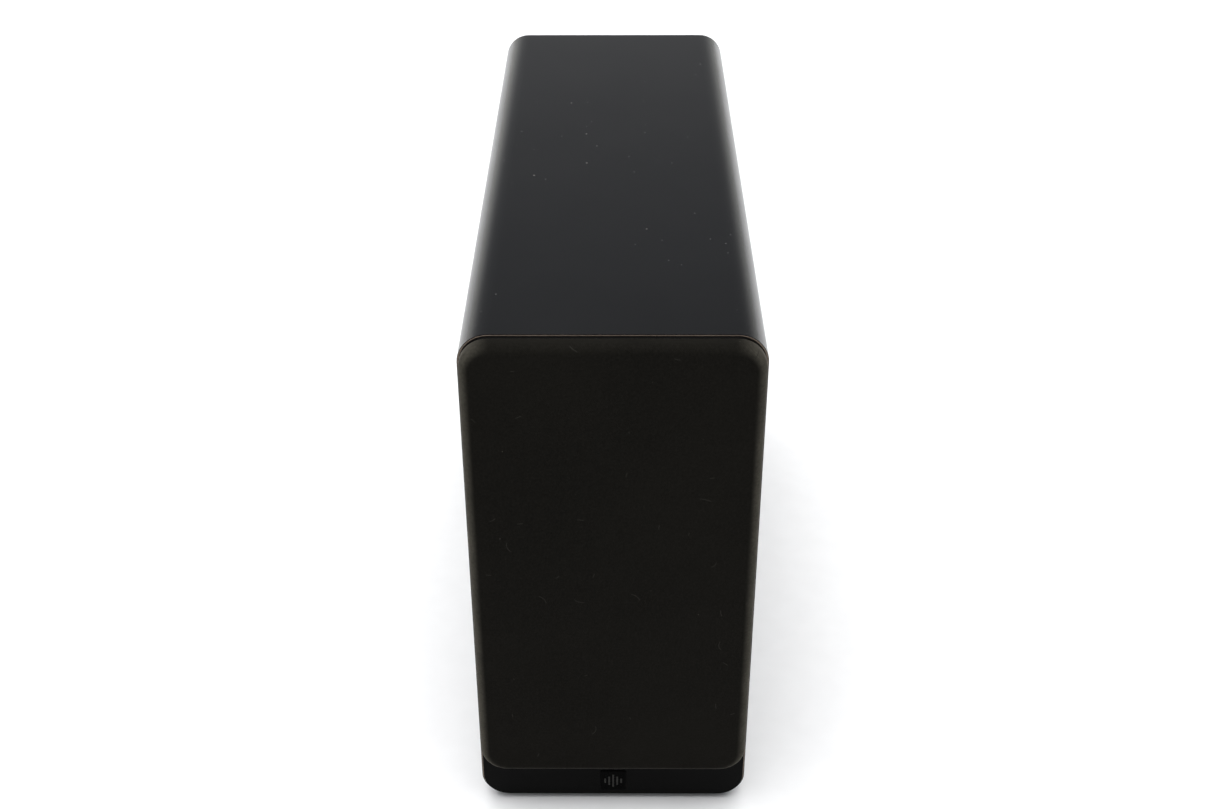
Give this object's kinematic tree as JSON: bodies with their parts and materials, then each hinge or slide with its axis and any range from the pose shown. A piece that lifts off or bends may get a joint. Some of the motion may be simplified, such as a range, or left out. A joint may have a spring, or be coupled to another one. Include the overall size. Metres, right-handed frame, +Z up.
{
  "type": "bookshelf speaker",
  "caption": "Slim, deep passive bookshelf speaker with a rounded black cabinet, pull-off cloth grille, woofer, tweeter, rear port and screw terminals.",
  "frame": {"origin": "centre of the overall footprint, on the surface the feet stand on", "axes": "+Y from the grille towards the terminals at the rear, +Z up, +X to the right of a viewer facing the grille"},
  "size_m": [0.17, 0.4884, 0.351],
  "materials": {
    "black_foil": "satin black foil with a fine grain",
    "mdf": "bare MDF, brown cut edges",
    "rear_black": "black-faced MDF",
    "rubber_black": "matte black rubber",
    "brass": "bare brass",
    "fascia_black": "smooth black lacquer",
    "badge_black": "gloss black",
    "emblem_steel": "brushed",
    "magnet_nickel": "nickel plated",
    "grille_plastic": "moulded black",
    "grille_fabric": "black woven cloth",
    "basket_alloy": "black powder coat",
    "foam_black": "closed-cell foam",
    "screw_black": "black oxide",
    "cone_paper": "coated paper pulp",
    "cone_cap": "soft black",
    "copper": "enamelled copper wire",
    "spider_cloth": "impregnated cloth",
    "motor_steel": "zinc plated",
    "ferrite": "sintered ferrite",
    "phenolic": "phenolic board",
    "faceplate_black": "satin black",
    "dome_silk": "coated silk",
    "moulded_black": "fine moulded grain",
    "brass_plated": "gold flash",
    "cap_red": "clear-coated red",
    "cap_black": "gloss black",
    "circuit_board": "phenolic paper board",
    "capacitor_film": "yellow film wrap",
    "resistor_ceramic": "cement filled",
    "block_green": "green nylon",
    "cable_black": "black jacket",
    "clip_nylon": "natural nylon",
    "wadding": "polyester wadding"
  },
  "bodies": {
    "cabinet": {"cabinet_wrap": "black_foil", "cabinet_sleeve": "mdf", "front_baffle": "mdf", "rear_panel": "rear_black", "brace_front": "mdf", "brace_rear": "mdf", "foot_front_left": "rubber_black", "foot_front_right": "rubber_black", "foot_rear_left": "rubber_black", "foot_rear_right": "rubber_black", "stand_inserts": "brass", "fascia": "fascia_black", "badge_plate": "badge_black", "badge_emblem": "emblem_steel", "cabinet_magnets": "magnet_nickel", "woofer_basket": "basket_alloy", "woofer_gasket": "foam_black", "woofer_screws": "screw_black", "woofer_surround": "rubber_black", "woofer_spider": "spider_cloth", "woofer_top_plate": "motor_steel", "woofer_magnet": "ferrite", "woofer_pole": "motor_steel", "woofer_terminals": "phenolic", "tweeter_faceplate": "faceplate_black", "tweeter_screws": "screw_black", "tweeter_surround": "dome_silk", "tweeter_top_plate": "motor_steel", "tweeter_magnet": "ferrite", "tweeter_pole": "motor_steel", "tweeter_terminals": "phenolic", "terminal_cup": "moulded_black", "rear_screws": "screw_black", "stud_red": "brass_plated", "stud_black": "brass_plated", "terminal_nuts": "brass_plated", "port": "moulded_black", "crossover_board": "circuit_board", "coil_large": "copper", "coil_small": "copper", "capacitor_large": "capacitor_film", "capacitor_small": "capacitor_film", "power_resistor": "resistor_ceramic", "output_block": "block_green", "woofer_cable": "cable_black", "tweeter_cable": "cable_black", "cable_clips": "clip_nylon", "damping_lining": "wadding"},
    "grille": {"grille_frame": "grille_plastic", "grille_cloth": "grille_fabric", "grille_magnets": "magnet_nickel"},
    "woofer_diaphragm": {"woofer_cone": "cone_paper", "woofer_dust_cap": "cone_cap", "woofer_coil": "copper"},
    "tweeter_diaphragm": {"tweeter_dome": "dome_silk", "tweeter_coil": "copper"},
    "red_washer": {"washer_red": "brass_plated"},
    "red_cap": {"cap_red": "cap_red"},
    "black_washer": {"washer_black": "brass_plated"},
    "black_cap": {"cap_black": "cap_black"}
  },
  "joints": [
    {"name": "grille_pull", "type": "slide", "parent": "cabinet", "child": "grille", "axis": [0, -1, 0], "range_m": [0, 0.08]},
    {"name": "woofer_stroke", "type": "slide", "parent": "cabinet", "child": "woofer_diaphragm", "axis": [0, -1, 0], "range_m": [-0.004, 0.004], "stiffness_N_per_m": 900, "deforming": ["woofer_surround", "woofer_spider"]},
    {"name": "tweeter_stroke", "type": "slide", "parent": "cabinet", "child": "tweeter_diaphragm", "axis": [0, -1, 0], "range_m": [-0.0005, 0.0005], "stiffness_N_per_m": 900, "deforming": ["tweeter_surround"]},
    {"name": "red_washer_travel", "type": "slide", "parent": "cabinet", "child": "red_washer", "axis": [0, 1, 0], "range_m": [0, 0.005]},
    {"name": "red_cap_turn", "type": "hinge", "parent": "red_washer", "child": "red_cap", "pos_m": [-0.0095, 0.23, 0.112], "axis": [0, -1, 0], "range_deg": [-1801, 0]},
    {"name": "black_washer_travel", "type": "slide", "parent": "cabinet", "child": "black_washer", "axis": [0, 1, 0], "range_m": [0, 0.005]},
    {"name": "black_cap_turn", "type": "hinge", "parent": "black_washer", "child": "black_cap", "pos_m": [0.0095, 0.23, 0.112], "axis": [0, -1, 0], "range_deg": [-1801, 0]}
  ],
  "couplings": [
    {"joint": "red_cap_turn", "follows": "red_washer_travel", "rad_per_m": -6283.2},
    {"joint": "black_cap_turn", "follows": "black_washer_travel", "rad_per_m": -6283.2}
  ]
}
